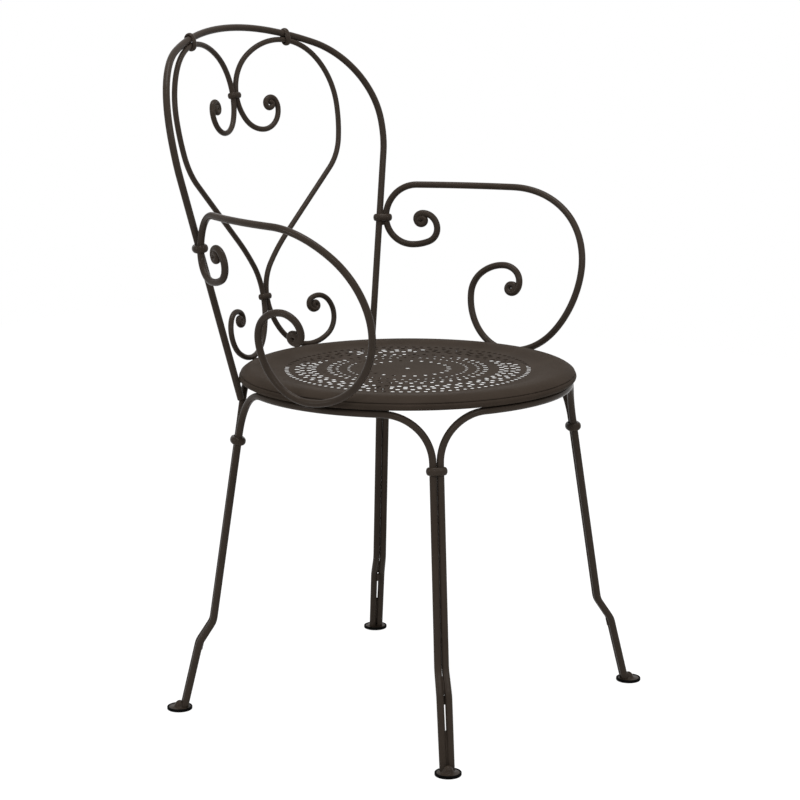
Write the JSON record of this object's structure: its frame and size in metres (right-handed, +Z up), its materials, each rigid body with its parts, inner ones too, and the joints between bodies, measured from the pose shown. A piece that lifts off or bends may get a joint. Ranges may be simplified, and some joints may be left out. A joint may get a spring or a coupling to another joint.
{
  "type": "garden armchair",
  "caption": "Garden armchair of bent round steel rod: pierced round seat, heart-scroll back inside a tall hoop, open scrolled arms and splayed legs on plastic glides.",
  "frame": {"origin": "on the floor below the middle of the chair's bounding box", "axes": "+Z up, the sitter faces -Y, +X is the sitter's left"},
  "size_m": [0.5452, 0.5112, 0.8635],
  "materials": {
    "powder_coat": "satin",
    "glide_plastic": "matte"
  },
  "bodies": {
    "root": {"arm_collar_left": "powder_coat", "arm_collar_right": "powder_coat", "arm_left": "powder_coat", "arm_right": "powder_coat", "back_hoop": "powder_coat", "foot_cup_front_left": "powder_coat", "foot_cup_front_right": "powder_coat", "foot_cup_rear_left": "powder_coat", "foot_cup_rear_right": "powder_coat", "foot_glide_front_left": "glide_plastic", "foot_glide_front_right": "glide_plastic", "foot_glide_rear_left": "glide_plastic", "foot_glide_rear_right": "glide_plastic", "heart_scroll_left": "powder_coat", "heart_scroll_right": "powder_coat", "hoop_clip_left": "powder_coat", "hoop_clip_right": "powder_coat", "kink_spacer_front_left": "powder_coat", "kink_spacer_front_right": "powder_coat", "kink_spacer_rear_left": "powder_coat", "kink_spacer_rear_right": "powder_coat", "leg_arch_front": "powder_coat", "leg_arch_left": "powder_coat", "leg_arch_rear": "powder_coat", "leg_arch_right": "powder_coat", "leg_collar_front_left": "powder_coat", "leg_collar_front_right": "powder_coat", "leg_collar_rear_left": "powder_coat", "leg_collar_rear_right": "powder_coat", "scroll_collar_lower": "powder_coat", "scroll_collar_upper": "powder_coat", "seat_pan": "powder_coat"}
  },
  "joints": []
}
